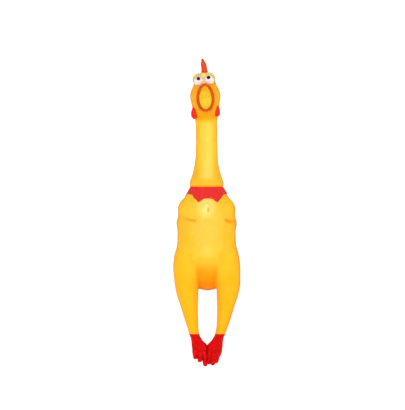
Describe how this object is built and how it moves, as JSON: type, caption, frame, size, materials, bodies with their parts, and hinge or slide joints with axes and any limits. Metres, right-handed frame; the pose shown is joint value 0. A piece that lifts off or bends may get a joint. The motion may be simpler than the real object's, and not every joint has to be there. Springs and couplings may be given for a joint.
{
  "type": "rubber chicken squeeze toy",
  "caption": "Hollow soft vinyl rubber chicken with an open beak, flexing neck and legs, a belly that presses in and a reed squeaker in the throat.",
  "frame": {"origin": "middle of the hand's grip round the torso", "axes": "+Z from the feet to the comb, -Y the way the bird faces, +X the bird's own left"},
  "size_m": [0.0702, 0.0621, 0.3199],
  "materials": {
    "vinyl_yellow": "glossy soft vinyl",
    "vinyl_pale_yellow": "smooth soft vinyl",
    "paint_orange": "orange paint on soft vinyl",
    "paint_red": "glossy red paint on soft vinyl",
    "paint_white": "cream paint on soft vinyl",
    "paint_black": "black paint on soft vinyl",
    "hard_plastic": "moulded hard plastic",
    "reed_film": "clear plastic film"
  },
  "bodies": {
    "torso": {"torso_skin": "vinyl_yellow", "collar": "paint_red", "neck_cuff": "vinyl_yellow", "neck_root_flex": "vinyl_yellow", "left_hip_flex": "vinyl_yellow", "right_hip_flex": "vinyl_yellow"},
    "belly_panel": {"belly_panel": "vinyl_yellow"},
    "lower_neck": {"lower_neck": "vinyl_yellow", "neck_middle_flex": "vinyl_yellow"},
    "upper_neck": {"upper_neck": "vinyl_yellow", "throat_flex": "vinyl_yellow"},
    "head": {"head_skin": "vinyl_yellow", "mouth_lining": "vinyl_pale_yellow", "beak_rim": "paint_orange", "left_eye": "paint_white", "right_eye": "paint_white", "left_pupil": "paint_black", "right_pupil": "paint_black", "comb": "paint_red", "left_wattle": "paint_red", "right_wattle": "paint_red", "squeaker_housing": "hard_plastic", "squeaker_cap": "hard_plastic", "reed_seat": "hard_plastic", "reed_clip": "hard_plastic"},
    "reed": {"reed": "reed_film"},
    "left_upper_leg": {"left_upper_leg": "vinyl_yellow", "left_knee_flex": "vinyl_yellow"},
    "left_lower_leg": {"left_lower_leg": "vinyl_yellow", "left_ankle_flex": "vinyl_yellow"},
    "left_foot": {"left_foot": "paint_red"},
    "right_upper_leg": {"right_upper_leg": "vinyl_yellow", "right_knee_flex": "vinyl_yellow"},
    "right_lower_leg": {"right_lower_leg": "vinyl_yellow", "right_ankle_flex": "vinyl_yellow"},
    "right_foot": {"right_foot": "paint_red"}
  },
  "joints": [
    {"name": "neck_bow", "type": "hinge", "parent": "torso", "child": "lower_neck", "pos_m": [0, 0, 0.0552], "axis": [1, 0, 0], "range_deg": [-30, 40], "stiffness_Nm_per_rad": 0.3, "deforming": ["neck_root_flex"]},
    {"name": "neck_sway", "type": "hinge", "parent": "lower_neck", "child": "upper_neck", "pos_m": [0, 0, 0.0729], "axis": [0, 1, 0], "range_deg": [-35, 35], "stiffness_Nm_per_rad": 0.2, "deforming": ["neck_middle_flex"]},
    {"name": "head_nod", "type": "hinge", "parent": "upper_neck", "child": "head", "pos_m": [0, 0, 0.0906], "axis": [1, 0, 0], "range_deg": [-30, 35], "stiffness_Nm_per_rad": 0.15, "deforming": ["throat_flex"]},
    {"name": "belly_press", "type": "slide", "parent": "torso", "child": "belly_panel", "axis": [0, 1, 0], "range_m": [0, 0.0075], "stiffness_N_per_m": 600},
    {"name": "left_leg_swing", "type": "hinge", "parent": "torso", "child": "left_upper_leg", "pos_m": [0.0209, -0.0042, -0.0732], "axis": [-1, 0, 0], "range_deg": [-35, 40], "stiffness_Nm_per_rad": 0.12, "deforming": ["left_hip_flex"]},
    {"name": "left_leg_splay", "type": "hinge", "parent": "left_upper_leg", "child": "left_lower_leg", "pos_m": [0.0184, -0.0034, -0.0918], "axis": [0, -1, 0], "range_deg": [0, 25], "stiffness_Nm_per_rad": 0.08, "deforming": ["left_knee_flex"]},
    {"name": "left_ankle_bend", "type": "hinge", "parent": "left_lower_leg", "child": "left_foot", "pos_m": [0.015, -0.003, -0.1089], "axis": [-1, 0, 0], "range_deg": [-30, 30], "stiffness_Nm_per_rad": 0.03, "deforming": ["left_ankle_flex"]},
    {"name": "right_leg_swing", "type": "hinge", "parent": "torso", "child": "right_upper_leg", "pos_m": [-0.0209, -0.0042, -0.0732], "axis": [-1, 0, 0], "range_deg": [-35, 40], "stiffness_Nm_per_rad": 0.12, "deforming": ["right_hip_flex"]},
    {"name": "right_leg_splay", "type": "hinge", "parent": "right_upper_leg", "child": "right_lower_leg", "pos_m": [-0.0184, -0.0034, -0.0918], "axis": [0, 1, 0], "range_deg": [0, 25], "stiffness_Nm_per_rad": 0.08, "deforming": ["right_knee_flex"]},
    {"name": "right_ankle_bend", "type": "hinge", "parent": "right_lower_leg", "child": "right_foot", "pos_m": [-0.015, -0.003, -0.1089], "axis": [-1, 0, 0], "range_deg": [-30, 30], "stiffness_Nm_per_rad": 0.03, "deforming": ["right_ankle_flex"]},
    {"name": "reed_flutter", "type": "hinge", "parent": "head", "child": "reed", "pos_m": [0, -0.0005, 0.102], "axis": [1, 0, 0], "range_deg": [-1.5, 1.5], "stiffness_Nm_per_rad": 0.0004}
  ]
}
